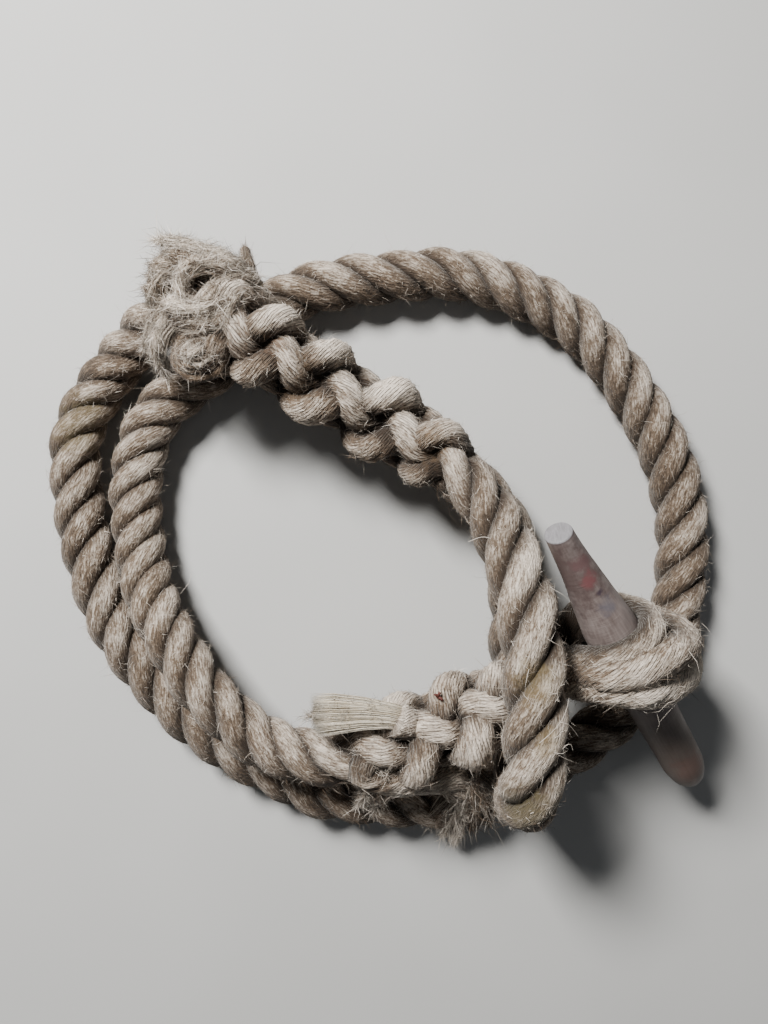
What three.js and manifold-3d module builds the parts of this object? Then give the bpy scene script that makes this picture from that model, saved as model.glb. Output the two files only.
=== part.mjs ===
// A toggle rope: one laid rope with a large spliced eye at one end and, at the other, a small
// spliced eye that grips a whittled wooden toggle. It lies in a loose coil of two turns, with the
// toggle's neck passed through the large eye, and its spliced-in strands end in frayed tufts.
// Millimetres, +Z up. The origin is the middle of the coil's footprint, on the surface it lies on.

import * as THREE from 'three';
import { mergeVertices } from 'three/addons/utils/BufferGeometryUtils.js';
import Module from 'manifold-3d';

const wasm = await Module();
wasm.setup();

// Driving dimensions.
const ROPE = 12.6; // radius of the laid rope
const LOOSE = 13.2; // radius where the eye's bend opens the lay
const LYING = 11.8; // height of the rope's middle where it lies, squashed a little flat
const SIDES = 12; // faces around the rope
const SPACING = 13; // between sections on the long stretches
const CLOSE_SPACING = 8; // between sections on the tight bends
const TOGGLE_CLEARANCE = 0.4; // gap between the toggle and the eye that grips it

// The rope's stretches in order from the toggle. Each point is [x, y, z], with a fourth value
// where the radius differs from that of the plain rope.
const TOGGLE_EYE = [
  [66, -59, 45, 15], [78, -55, 45, 13], [87, -51, 58, 12], [96, -48, 71, 12], [108, -45, 75, 12],
  [120, -43, 71, 12], [129, -41, 60, 11.5], [130, -38, 48, 11], [121, -32, 38, 11],
  [107, -30, 35, 11], [92, -35, 35, 12], [78, -47, 40, 14], [66, -56, 45, 15],
];
const TOGGLE_SPLICE = [
  [88, -52, 49, 17], [81, -54, 47, 19], [65, -59, 46, 20.5], [47, -68, 46, 21], [29, -76, 45, 20.5],
  [12, -83, 43, 18.5], [-4, -89, 40, 15.5], [-20, -93, 38, 13.5], [-37, -91, 37, ROPE],
];
const FIRST_TURN = [
  [-20, -93, 38], [-37, -91, 37], [-54, -85, 36], [-69, -73, 35], [-83, -60, 32], [-95, -43, 27],
  [-107, -24, 20], [-114, -5, 14], [-117, 12, LYING], [-118, 29, LYING], [-115, 49, LYING],
  [-108, 65, LYING], [-96, 77, LYING], [-82, 87, LYING], [-68, 99, LYING], [-56, 113, LYING],
  [-42, 123, LYING], [-21, 129, LYING], [5, 132, LYING], [30, 134, LYING], [51, 131, LYING],
  [73, 123, LYING], [93, 111, LYING], [111, 93, LYING], [125, 73, LYING], [137, 51, LYING],
  [144, 29, LYING], [147, 5, LYING], [146, -14, LYING],
];
const SECOND_TURN = [
  [147, 5, LYING], [146, -14, LYING], [143, -33, LYING], [136, -51, LYING], [125, -69, LYING],
  [109, -85, LYING], [88, -100, LYING], [66, -111, LYING], [44, -120, LYING], [20, -122, LYING],
  [-7, -120, LYING], [-28, -117, LYING], [-48, -108, LYING], [-71, -96, LYING], [-92, -80, LYING],
  [-110, -61, LYING], [-126, -40, LYING], [-136, -16, LYING], [-143, 8, LYING], [-146, 29, LYING],
  [-147, 50, LYING], [-142, 67, LYING], [-131, 83, 13], [-117, 97, 19], [-101, 107, 30, 13.5],
  [-84, 108, 41, 16],
];
const EYE_SPLICE = [
  [-101, 107, 30, 13.5], [-84, 108, 41, 16], [-68, 101, 46, 19], [-51, 92, 46, 20.5],
  [-35, 82, 42, 20.5], [-17, 72, 36, 20.5], [1, 61, 32, 21], [19, 50, 33, 20.5], [35, 37, 38, 19],
  [48, 22, 44, 16],
];
const EYE_FRONT_LEG = [
  [35, 37, 38, 15], [48, 22, 46, 14.5], [55, 4, 55, LOOSE], [60, -14, 65, LOOSE],
  [62, -33, 75, LOOSE], [63, -53, 78, LOOSE], [63, -73, 78, LOOSE], [62, -90, 76, LOOSE],
  [62, -101, 66, LOOSE], [63, -106, 53, LOOSE],
];
const EYE_BACK_LEG = [
  [62, -101, 66, LOOSE], [63, -106, 53, LOOSE], [65, -100, 39, LOOSE], [66, -91, 26, LOOSE],
  [66, -79, 14, ROPE], [66, -53, LYING], [66, -29, LYING], [65, -7, LYING], [59, 15, 15],
  [46, 29, 22, 14], [35, 37, 34, 15],
];

// The ends of the spliced-in strands, opened into tufts.
const FRAYED_ENDS = [
  [[-66, 102, 50, 15], [-77, 114, 53, 20], [-89, 127, 50, 17], [-98, 138, 47, 5]],
  [[-82, 106, 48, 14], [-98, 100, 40, 13], [-106, 91, 28, 8]],
  [[-62, 113, 40, 7], [-62, 130, 42, 6.5], [-61, 138, 42, 4]],
  [[14, -76, 52, 8], [-8, -68, 56, 7], [-27, -67.5, 56, 8]],
  [[35, -107, 30, 10], [40, -126, 22, 11], [43, -144, 12, 6]],
];

// The toggle: its two ends, and its radius at distances along it from the thin, sawn end.
const THIN_END = new THREE.Vector3(71.7, 10.5, 80);
const ROUND_END = new THREE.Vector3(147.3, -107.6, 24.3);
const TOGGLE_PROFILE = [
  [5.4, 0], [5.9, 1.5], [6.7, 13], [9.1, 32], [10.8, 43], [11.9, 52], [12.2, 62], [11.8, 82],
  [10.4, 102], [9.9, 119], [9.7, 135], [8.6, 143], [5.7, 148.5],
];

// A three.js geometry as a manifold-3d solid, and back.
function toSolid(geometry) {
  const shape = geometry.clone();
  shape.deleteAttribute('normal');
  shape.deleteAttribute('uv');
  const merged = mergeVertices(shape);
  return new wasm.Manifold(new wasm.Mesh({
    numProp: 3,
    vertProperties: merged.attributes.position.array,
    triVerts: new Uint32Array(merged.index.array),
  }));
}

function toGeometry(solid) {
  const mesh = solid.getMesh();
  const geometry = new THREE.BufferGeometry();
  geometry.setAttribute('position', new THREE.BufferAttribute(mesh.vertProperties, 3));
  geometry.setIndex(new THREE.BufferAttribute(mesh.triVerts, 1));
  return geometry;
}

// The radius between a route's points, where t runs from 0 at the first to 1 at the last.
function radiusAt(route, t) {
  const place = t * (route.length - 1);
  const index = Math.min(Math.floor(place), route.length - 2);
  const [before, after] = [route[index][3] ?? ROPE, route[index + 1][3] ?? ROPE];
  return THREE.MathUtils.lerp(before, after, place - index);
}

// A round body along a route: a tube of radius 1 is extruded, then each of its sections is
// opened to the route's radius there.
function ropeAlong(route, spacing) {
  const points = route.map(([x, y, z]) => new THREE.Vector3(x, y, z));
  const curve = new THREE.CatmullRomCurve3(points, false, 'centripetal');
  const steps = Math.ceil(curve.getLength() / spacing);
  const section = new THREE.Shape();
  section.absarc(0, 0, 1, 0, 2 * Math.PI);
  const tube = new THREE.ExtrudeGeometry(section, {
    steps, curveSegments: SIDES / 2, extrudePath: curve, bevelEnabled: false,
  });

  const centres = curve.getSpacedPoints(steps);
  const position = tube.attributes.position;
  const vertex = new THREE.Vector3();
  for (let i = 0; i < position.count; i += 1) {
    vertex.fromBufferAttribute(position, i);
    const distances = centres.map((centre) => centre.distanceTo(vertex));
    const nearest = distances.indexOf(Math.min(...distances));
    const radius = radiusAt(route, curve.getUtoTmapping(nearest / steps));
    vertex.sub(centres[nearest]).multiplyScalar(radius).add(centres[nearest]);
    position.setXYZ(i, vertex.x, vertex.y, vertex.z);
  }
  return toSolid(tube);
}

// The toggle's turned shape, larger all round by a clearance, in its place on the rope.
function toggleShape(clearance) {
  const length = THIN_END.distanceTo(ROUND_END);
  const outline = [
    new THREE.Vector2(0, -clearance),
    ...TOGGLE_PROFILE.map(([radius, along]) => new THREE.Vector2(radius + clearance, along)),
    new THREE.Vector2(0, length + clearance),
  ];
  outline[1].y -= clearance;
  const geometry = new THREE.LatheGeometry(outline, 24);
  const direction = ROUND_END.clone().sub(THIN_END).normalize();
  geometry.applyQuaternion(
    new THREE.Quaternion().setFromUnitVectors(new THREE.Vector3(0, 1, 0), direction),
  );
  return geometry.translate(THIN_END.x, THIN_END.y, THIN_END.z);
}

// The rope is one solid: its stretches and tufts joined, cut flat where they lie on the surface,
// and cleared for the toggle.
function ropeGeometry() {
  const stretches = [
    ropeAlong(TOGGLE_EYE, CLOSE_SPACING),
    ropeAlong(TOGGLE_SPLICE, SPACING),
    ropeAlong(FIRST_TURN, SPACING),
    ropeAlong(SECOND_TURN, SPACING),
    ropeAlong(EYE_SPLICE, SPACING),
    ropeAlong(EYE_FRONT_LEG, CLOSE_SPACING),
    ropeAlong(EYE_BACK_LEG, CLOSE_SPACING),
    ...FRAYED_ENDS.map((route) => ropeAlong(route, CLOSE_SPACING)),
  ];
  const joined = stretches.reduce((whole, stretch) => whole.add(stretch));
  const belowSurface = toSolid(new THREE.BoxGeometry(400, 400, 40).translate(0, 0, -20));
  const cleared = joined.subtract(belowSurface).subtract(toSolid(toggleShape(TOGGLE_CLEARANCE)));
  return toGeometry(cleared);
}

function mesh(name, geometry, material) {
  const result = new THREE.Mesh(geometry, material);
  result.name = name;
  return result;
}

const jute = new THREE.MeshStandardMaterial({ color: 0xa5917c, roughness: 0.95, metalness: 0 });
const greyedWood = new THREE.MeshStandardMaterial({ color: 0xa8978c, roughness: 0.6, metalness: 0 });

const toggleRope = new THREE.Group();
toggleRope.add(mesh('rope', ropeGeometry(), jute));
toggleRope.add(mesh('toggle', toggleShape(0), greyedWood));

export default toggleRope;
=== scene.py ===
import math

import bpy
import numpy as np
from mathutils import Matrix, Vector


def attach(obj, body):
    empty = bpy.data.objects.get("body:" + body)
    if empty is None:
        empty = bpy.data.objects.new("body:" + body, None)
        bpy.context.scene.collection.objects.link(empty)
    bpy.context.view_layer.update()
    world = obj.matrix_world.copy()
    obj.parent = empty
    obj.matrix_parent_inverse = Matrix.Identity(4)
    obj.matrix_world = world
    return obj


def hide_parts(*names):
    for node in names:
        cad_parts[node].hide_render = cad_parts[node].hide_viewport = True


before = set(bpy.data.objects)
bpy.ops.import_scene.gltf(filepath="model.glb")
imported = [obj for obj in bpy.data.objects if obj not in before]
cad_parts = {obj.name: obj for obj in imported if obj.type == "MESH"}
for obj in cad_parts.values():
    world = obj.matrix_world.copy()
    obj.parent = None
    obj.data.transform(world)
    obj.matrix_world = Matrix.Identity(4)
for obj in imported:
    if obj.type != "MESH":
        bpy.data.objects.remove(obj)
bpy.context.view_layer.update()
random = np.random.default_rng(7)

MM = 0.001
TURN = 2 * math.pi


# ---------------------------------------------------------------- sizes, in millimetres

ROPE_RADIUS = 12.6
STRANDS = 3
STRAND_TO_ROPE = 0.525       # a strand's radius over the rope's
YARNS = 15                   # yarns round one strand
POINTS_PER_YARN = 2
YARN_GROOVE = 0.026          # depth of the groove between yarns, over the strand's radius
OPEN_GROOVE = 0.075          # the same where the strands are opened and worked
YARN_TWIST = 0.052           # turns of the yarns round a strand, in radians a millimetre
OPEN_TWIST = 0.12
ROPE_STEP = 2.72             # spacing of the sections along the rope
STRAND_STEP = 2.4            # spacing of the sections along a single strand

# The rope's own line, from the throat of the small eye through both turns and the splice of
# the large eye, round that eye and back to its throat: x, y, z and the rope's radius.
LYING = 11.8
LOOSE = 13.2
ROPE_ROUTE = [
    (66, -59, 47), (47, -68, 46), (29, -76, 45), (12, -83, 43), (-4, -89, 40), (-20, -93, 38),
    (-37, -91, 37), (-54, -85, 36), (-69, -73, 35), (-83, -60, 32), (-95, -43, 27),
    (-107, -24, 20), (-114, -5, 14), (-117, 12, LYING), (-118, 29, LYING), (-115, 49, LYING),
    (-108, 65, LYING), (-96, 77, LYING), (-82, 87, LYING), (-68, 99, LYING),
    (-56, 113, LYING), (-42, 123, LYING), (-21, 129, LYING), (5, 132, LYING),
    (30, 134, LYING), (51, 131, LYING), (73, 123, LYING), (93, 111, LYING),
    (111, 93, LYING), (125, 73, LYING), (137, 51, LYING), (144, 29, LYING),
    (147, 5, LYING), (146, -14, LYING), (143, -33, LYING), (136, -51, LYING),
    (125, -69, LYING), (109, -85, LYING), (88, -100, LYING), (66, -111, LYING),
    (44, -120, LYING), (20, -122, LYING), (-7, -120, LYING), (-28, -117, LYING),
    (-48, -108, LYING), (-71, -96, LYING), (-92, -80, LYING), (-110, -61, LYING),
    (-126, -40, LYING), (-136, -16, LYING), (-143, 8, LYING), (-146, 29, LYING),
    (-147, 50, LYING), (-142, 67, LYING), (-131, 83, 13), (-117, 97, 19), (-101, 107, 30),
    (-84, 108, 41), (-68, 101, 46), (-51, 92, 46), (-35, 82, 42), (-17, 72, 36),
    (1, 61, 32), (19, 50, 33), (35, 37, 38), (48, 22, 46), (55, 4, 55), (60, -14, 65),
    (62, -33, 75), (63, -53, 78), (63, -73, 78), (62, -90, 76), (62, -101, 66),
    (63, -106, 53), (65, -100, 39), (66, -91, 26), (66, -79, 14), (66, -53, LYING),
    (66, -29, LYING), (65, -7, LYING), (59, 15, 15), (46, 29, 22), (35, 37, 34),
]
CAMERA_PLACE = (2.5, 18.5, 392)


# ---------------------------------------------------------------- camera and light

LENS = 27.56
SENSOR_WIDTH = 36


def add_camera():
    """The view is from straight above the coil, a little over a forearm's length away."""
    data = bpy.data.cameras.new("camera")
    data.lens = LENS
    data.sensor_width = SENSOR_WIDTH
    data.clip_start = 0.01
    camera = bpy.data.objects.new("camera", data)
    camera.location = [c * MM for c in CAMERA_PLACE]
    bpy.context.collection.objects.link(camera)
    bpy.context.scene.camera = camera


def add_area_light(name, place, size, watts, colour):
    data = bpy.data.lights.new(name, "AREA")
    data.energy = watts
    data.size = size
    data.color = colour
    light = bpy.data.objects.new(name, data)
    light.location = place
    light.rotation_euler = Vector(place).to_track_quat("Z", "Y").to_euler()
    bpy.context.collection.objects.link(light)


def add_lights():
    add_area_light("key", (-0.45, 0.60, 0.80), size=0.30, watts=33, colour=(1.0, 0.985, 0.96))
    add_area_light("fill", (0.7, -0.5, 0.8), size=1.0, watts=0.6, colour=(0.93, 0.96, 1.0))
    world = bpy.data.worlds.new("soft room light")
    world.use_nodes = True
    world.node_tree.nodes["Background"].inputs["Color"].default_value = (0.86, 0.9, 0.95, 1)
    world.node_tree.nodes["Background"].inputs["Strength"].default_value = 0.07
    bpy.context.scene.world = world


# ---------------------------------------------------------------- lines and tubes

def smooth_line(points, step):
    """Points spaced evenly along the centripetal spline through the given points, the place
    of each among the given ones, and its distance along the line."""
    points = np.asarray(points, float)
    first = 2 * points[0] - points[1]
    last = 2 * points[-1] - points[-2]
    ends = np.vstack([first, points, last])
    fine, places = [], []
    for i in range(len(points) - 1):
        p = ends[i:i + 4]
        t = np.concatenate([[0], np.cumsum(np.linalg.norm(np.diff(p, axis=0), axis=1) ** 0.5)])
        u = np.linspace(t[1], t[2], 24, endpoint=i == len(points) - 2)[:, None]
        a1 = ((t[1] - u) * p[0] + (u - t[0]) * p[1]) / (t[1] - t[0])
        a2 = ((t[2] - u) * p[1] + (u - t[1]) * p[2]) / (t[2] - t[1])
        a3 = ((t[3] - u) * p[2] + (u - t[2]) * p[3]) / (t[3] - t[2])
        b1 = ((t[2] - u) * a1 + (u - t[0]) * a2) / (t[2] - t[0])
        b2 = ((t[3] - u) * a2 + (u - t[1]) * a3) / (t[3] - t[1])
        fine.append(((t[2] - u) * b1 + (u - t[1]) * b2) / (t[2] - t[1]))
        places.append(i + ((u - t[1]) / (t[2] - t[1]))[:, 0])
    fine = np.vstack(fine)
    places = np.concatenate(places)
    along = np.concatenate([[0], np.cumsum(np.linalg.norm(np.diff(fine, axis=0), axis=1))])
    count = max(2, int(round(along[-1] / step)) + 1)
    even = np.linspace(0, along[-1], count)
    line = np.column_stack([np.interp(even, along, fine[:, k]) for k in range(3)])
    return line, np.interp(even, along, places), even


def unit(vectors):
    return vectors / np.maximum(np.linalg.norm(vectors, axis=-1, keepdims=True), 1e-12)


def carried_frames(line):
    """A tangent and two sideways directions at each point, carried along without twist."""
    tangent = unit(np.gradient(line, axis=0))
    side = np.empty_like(line)
    start = np.array([0.0, 0.0, 1.0])
    if abs(tangent[0] @ start) > 0.9:
        start = np.array([0.0, 1.0, 0.0])
    side[0] = unit(start - (start @ tangent[0]) * tangent[0])
    for i in range(1, len(line)):
        carried = side[i - 1] - (side[i - 1] @ tangent[i]) * tangent[i]
        side[i] = carried / np.linalg.norm(carried)
    return tangent, side, np.cross(tangent, side)


def wander(count, step, every, size):
    """Smooth random drift, one value for each section, that turns about every so many mm."""
    knots = max(4, int(count * step / every) + 3)
    values = random.normal(0, size, knots)
    return np.interp(np.linspace(0, knots - 1, count), np.arange(knots), values)


class Surfaces:
    """Vertices, faces and values gathered for one piece."""

    def __init__(self):
        self.points, self.quads, self.triangles = [], [], []
        self.quad_uv, self.triangle_uv = [], []
        self.crown, self.tint, self.worked = [], [], []
        self.count = 0

    def add(self, points, quads, quad_uv, triangles, triangle_uv, crown, tint, worked):
        self.points.append(points)
        self.quads.append(quads + self.count)
        self.triangles.append(triangles + self.count)
        self.quad_uv.append(quad_uv)
        self.triangle_uv.append(triangle_uv)
        self.crown.append(crown)
        self.tint.append(tint)
        self.worked.append(worked)
        self.count += len(points)

    def build(self, name, material, smooth=True):
        points = np.vstack(self.points) * MM
        points[:, 2] = np.maximum(points[:, 2], 0.0)
        quads = np.vstack(self.quads)
        triangles = np.vstack(self.triangles)
        loops = np.concatenate([quads.ravel(), triangles.ravel()])
        uv = np.vstack([np.concatenate(self.quad_uv).reshape(-1, 2),
                        np.concatenate(self.triangle_uv).reshape(-1, 2)])
        starts = np.concatenate([
            np.arange(len(quads)) * 4,
            len(quads) * 4 + np.arange(len(triangles)) * 3,
        ])
        mesh = bpy.data.meshes.new(name)
        mesh.vertices.add(len(points))
        mesh.vertices.foreach_set("co", points.astype(np.float32).ravel())
        mesh.loops.add(len(loops))
        mesh.loops.foreach_set("vertex_index", loops.astype(np.int32))
        mesh.polygons.add(len(starts))
        mesh.polygons.foreach_set("loop_start", starts.astype(np.int32))
        mesh.update(calc_edges=True)
        mesh.uv_layers.new(name="lay").uv.foreach_set("vector", uv.astype(np.float32).ravel())
        for title, parts in (("crown", self.crown), ("tint", self.tint), ("worked", self.worked)):
            values = mesh.attributes.new(title, "FLOAT", "POINT")
            values.data.foreach_set("value", np.concatenate(parts).astype(np.float32))
        mesh.validate()
        mesh.polygons.foreach_set("use_smooth", np.full(len(mesh.polygons), smooth))
        piece = bpy.data.objects.new(name, mesh)
        bpy.context.collection.objects.link(piece)
        mesh.materials.append(material)
        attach(piece, "root")
        return piece


PALER_SIDE = np.array([0.62, 0.62, 0.48])   # the rope is paler towards this side
PALER_SIDE_STRENGTH = 0.9
PALER_ABOVE = 40           # the turns that lie higher than this are paler, the lower browner
PALING_PER_MM = 0.011              # by this much tint a millimetre
PALING_REACH = (-34, 38)    # and no further below and above it than this
YARN_DRIFT = 0.022           # how unevenly thick a yarn is, over the strand's radius
LAY_DRIFT = 0.05             # how unevenly the yarns turn, in radians
YARN_TINT = 0.35             # how much the yarns differ in tint
CAP_RISE = 0.25              # how far a strand's closed ends stand out, over its radius

strand_skins = []            # skins that carry short loose hairs
woolly_skins = []            # skins of frayed locks, thick with fibres


def add_strand(surfaces, line, radius, centre, reach, twist_start=0.0, tint=0.0, worked=0.0,
               skins=strand_skins, yarns=YARNS, squash=None, pressed=None):
    """One strand: a closed tube with a ridge for each yarn, the yarns laid at an angle.

    centre is the line that the strand is laid round, and reach its distance from that line
    at which the skin counts as a crown. worked is 1 where the strand was opened and bent by
    hand, so that its yarns stand apart. squash narrows the tube along a direction, and
    pressed moves the skin's points out of what the strand is pressed against."""
    radius = np.broadcast_to(radius, len(line)).astype(float)
    worked = np.broadcast_to(worked, len(line)).astype(float)
    groove = (YARN_GROOVE + (OPEN_GROOVE - YARN_GROOVE) * worked)[:, None]
    twist = YARN_TWIST + (OPEN_TWIST - YARN_TWIST) * worked
    tangent, side, other = carried_frames(line)
    along = np.concatenate([[0], np.cumsum(np.linalg.norm(np.diff(line, axis=0), axis=1))])
    columns = yarns * POINTS_PER_YARN
    step = along[-1] / (len(line) - 1)

    column = np.arange(columns)
    ridge = np.where(column % POINTS_PER_YARN == 0, 1 - groove, 1.0)
    yarn_drift = np.stack(
        [wander(len(line), step, 14, YARN_DRIFT) for _ in range(yarns)], axis=1)
    drift = np.repeat(yarn_drift, POINTS_PER_YARN, axis=1) * (0.6 + worked)[:, None]
    jitter = wander(len(line), step, 30, LAY_DRIFT)
    turned = np.cumsum(twist) * step + jitter
    angle = (TURN * column / columns)[None, :] - turned[:, None] + twist_start
    size = radius[:, None] * (ridge + drift)
    outward = (np.cos(angle)[..., None] * side[:, None, :]
               + np.sin(angle)[..., None] * other[:, None, :])
    offset = size[..., None] * outward
    if squash is not None:
        direction, amount = squash
        depth = (offset * direction[:, None, :]).sum(-1, keepdims=True)
        offset = offset - depth * direction[:, None, :] * amount[:, None, None]
    points = line[:, None, :] + offset
    if pressed is not None:
        points = pressed(points)

    # crown: how far out the skin lies; the materials paint shade where it is low, down in the
    # grooves
    from_centre = points - centre[:, None, :]
    distance = np.linalg.norm(from_centre, axis=-1)
    crown = np.clip(distance / reach[:, None], 0, 1.3)
    # each point is paler the more its skin faces the paler side set above, browner facing away
    towards_paler_side = (unit(from_centre) @ PALER_SIDE) * PALER_SIDE_STRENGTH
    yarn_tint = np.repeat(random.normal(0, 0.5, yarns), POINTS_PER_YARN)
    tints = tint + YARN_TINT * yarn_tint[None, :] + wander(len(line), step, 40, 0.25)[:, None]
    # higher skin is paler and lower skin browner, by height alone
    height_paling = PALING_PER_MM * np.clip(points[..., 2] - PALER_ABOVE, *PALING_REACH)
    tints = tints + towards_paler_side + height_paling

    rows = len(line)
    index = np.arange(rows * columns).reshape(rows, columns)
    after = np.roll(index, -1, axis=1)
    quads = np.stack([index[:-1], after[:-1], after[1:], index[1:]], -1).reshape(-1, 4)
    u = column / POINTS_PER_YARN
    v = along / 10
    u0 = np.broadcast_to(u, (rows - 1, columns))
    u1 = u0 + 1 / POINTS_PER_YARN
    v0 = np.broadcast_to(v[:-1, None], u0.shape)
    v1 = np.broadcast_to(v[1:, None], u0.shape)
    quad_uv = np.stack([u0, v0, u1, v0, u1, v1, u0, v1], -1).reshape(-1, 8)

    ends = np.vstack([line[0] - CAP_RISE * radius[0] * tangent[0],
                      line[-1] + CAP_RISE * radius[-1] * tangent[-1]])
    first, last = rows * columns, rows * columns + 1
    caps = np.vstack([
        np.stack([np.full(columns, first), np.roll(index[0], -1), index[0]], -1),
        np.stack([np.full(columns, last), index[-1], np.roll(index[-1], -1)], -1),
    ])
    cap_uv = np.concatenate([
        np.stack([u + 0.5, np.full(columns, v[0] - 0.2), u + 1, np.full(columns, v[0]),
                  u, np.full(columns, v[0])], -1),
        np.stack([u + 0.5, np.full(columns, v[-1] + 0.2), u, np.full(columns, v[-1]),
                  u + 1, np.full(columns, v[-1])], -1),
    ])
    flat = points.reshape(-1, 3)
    surfaces.add(
        np.vstack([flat, ends]), quads, quad_uv, caps, cap_uv,
        np.concatenate([crown.ravel(), [crown[0].mean(), crown[-1].mean()]]),
        np.concatenate([tints.ravel(), [0, 0]]),
        np.concatenate([np.repeat(worked, columns), worked[[0, -1]]]),
    )
    lie = unit(np.gradient(points, axis=0))
    skins.append((points, outward, lie, crown, tints))


# ---------------------------------------------------------------- the rope

def smooth_step(x):
    x = np.clip(x, 0, 1)
    return x * x * (3 - 2 * x)


rope_line, rope_place, rope_along = smooth_line(ROPE_ROUTE, ROPE_STEP)
_, rope_side, rope_other = carried_frames(rope_line)


def along_at(number):
    """Distance along the rope at one of its route's points, counted from 0."""
    return float(np.interp(number, rope_place, rope_along))


EYE_BEGINS = along_at(65)

# Where a strand's crown faces up, as distances along the rope, one after another. Between
# two of them the rope makes a third of a turn. Where the rope lies under something the
# crowns are evenly spaced, so only the count is given.
CROWNS = [
    (0, -5), (20, -4), (44, -3), (70, -2), (94, -1), (112, 0), (127, 1), (145, 2), (165, 3),
    (183, 4), (201, 5), (216, 6), (232, 7), (247, 8), (262, 9), (277, 10), (293, 11),
    (308, 12), (401, 17), (421, 18), (441, 19), (461, 20), (479, 21), (498, 22), (515, 23),
    (532, 24), (550, 25), (568, 26), (587, 27), (603, 28), (621, 29), (639, 30), (658, 31),
    (676, 32), (694, 33), (1014, 50), (1033, 51), (1050, 52), (1070, 53), (1087, 54),
    (1105, 55), (1123, 56), (1140, 57), (1157, 58), (1174, 59), (1191, 60), (1236, 62),
    (1254, 63), (1277, 64), (1308, 65), (1343, 66), (1373, 67), (1391, 68), (1410, 69),
    (1433, 70), (1457, 71), (1480, 72), (1501, 73), (1745, 84),
]
LAST_CROWN_SEEN = 1501


def crown_count(along):
    """How many crowns have faced up so far, smoothed so that the lay changes gently."""
    steps = np.arange(-30, 1800, 4.0)
    places, numbers = np.array(CROWNS, float).T
    count = np.interp(steps, places, numbers)
    count[steps < 0] = numbers[0] + steps[steps < 0] * (numbers[1] - numbers[0]) / places[1]
    window = np.hanning(9)
    padded = np.pad(count, 4, mode="reflect", reflect_type="odd")
    count = np.convolve(padded, window / window.sum(), mode="valid")
    return np.interp(along, steps, count)


def upward_turn():
    """The turn, round the rope's line, that faces the camera. Where the rope stands on end
    it keeps the last value."""
    towards = unit(np.array(CAMERA_PLACE) - rope_line)
    turn = np.unwrap(np.arctan2((towards * rope_other).sum(1), (towards * rope_side).sum(1)))
    seen = rope_along <= LAST_CROWN_SEEN
    turn[~seen] = turn[seen][-1]
    return turn


rope_up = upward_turn()
rope_turn = rope_up + TURN / STRANDS * crown_count(rope_along)

rope_radius = np.full(len(rope_line), ROPE_RADIUS)
rope_radius = rope_radius + (LOOSE - ROPE_RADIUS) * smooth_step((rope_along - EYE_BEGINS) / 30)
rope_radius = rope_radius * (1 + wander(len(rope_line), ROPE_STEP, 45, 0.012))


SPLICE_EDGE = 14.0           # the length over which a splice opens and closes


class Splice:
    """A stretch where the standing strands are opened and the rope's own ends are tucked.

    Each tucked strand runs round against the lay, over one standing strand and under the
    next, so a standing strand is outermost where its crown faces up, and the tucked strands
    are outermost halfway between."""

    def __init__(self, name, begin, end, throat_first):
        self.name, self.begin, self.end, self.throat_first = name, begin, end, throat_first

    def opened(self, along):
        """0 outside the splice and 1 well inside it."""
        from_begin = smooth_step((along - self.begin) / SPLICE_EDGE)
        return from_begin * smooth_step((self.end - along) / SPLICE_EDGE)


TOGGLE_SPLICE = Splice("toggle_splice", 4.0, 88.0, True)
EYE_SPLICE = Splice("eye_splice", 1222.0, 1366.0, False)
SPLICES = (TOGGLE_SPLICE, EYE_SPLICE)

STANDING_OPENED = 1.5        # how far a standing strand moves out where it is opened
STANDING_WAVE = 2.7
STANDING_SWOLLEN = 0.12      # how much thicker it is there, over its radius
TUCKED_RADIUS = 10.3         # the tucked strands' mean distance from the rope's line
TUCKED_WAVE = 4.9
TUCKED_STRAND = 7.4          # a tucked strand's radius
TUCKED_REACH = 18.0          # its crowns' distance from the rope's line


def strand_line(strand):
    """A standing strand's line."""
    turn = rope_turn + TURN * strand / STRANDS
    reach = rope_radius * (1 - STRAND_TO_ROPE)
    wave = np.cos(TURN * crown_count(rope_along))
    for splice in SPLICES:
        reach = reach + splice.opened(rope_along) * (STANDING_OPENED + STANDING_WAVE * wave)
    outward = np.cos(turn)[:, None] * rope_side + np.sin(turn)[:, None] * rope_other
    return rope_line + reach[:, None] * outward


def add_rope(material):
    surfaces = Surfaces()
    for strand in range(STRANDS):
        line = strand_line(strand)
        worked = sum(splice.opened(rope_along) for splice in SPLICES)
        radius = rope_radius * STRAND_TO_ROPE * (1 + STANDING_SWOLLEN * worked)
        radius = radius * (1 + wander(len(line), ROPE_STEP, 25, 0.025))
        add_strand(surfaces, line, radius, rope_line, rope_radius + 3 * worked,
                   twist_start=1.3 * strand, tint=random.normal(0, 0.12), worked=worked)
    piece = surfaces.build("rope_strands", material)
    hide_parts("rope")
    return piece


def along_rope(along, values):
    return np.column_stack([np.interp(along, rope_along, values[:, k]) for k in range(3)])


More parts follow.
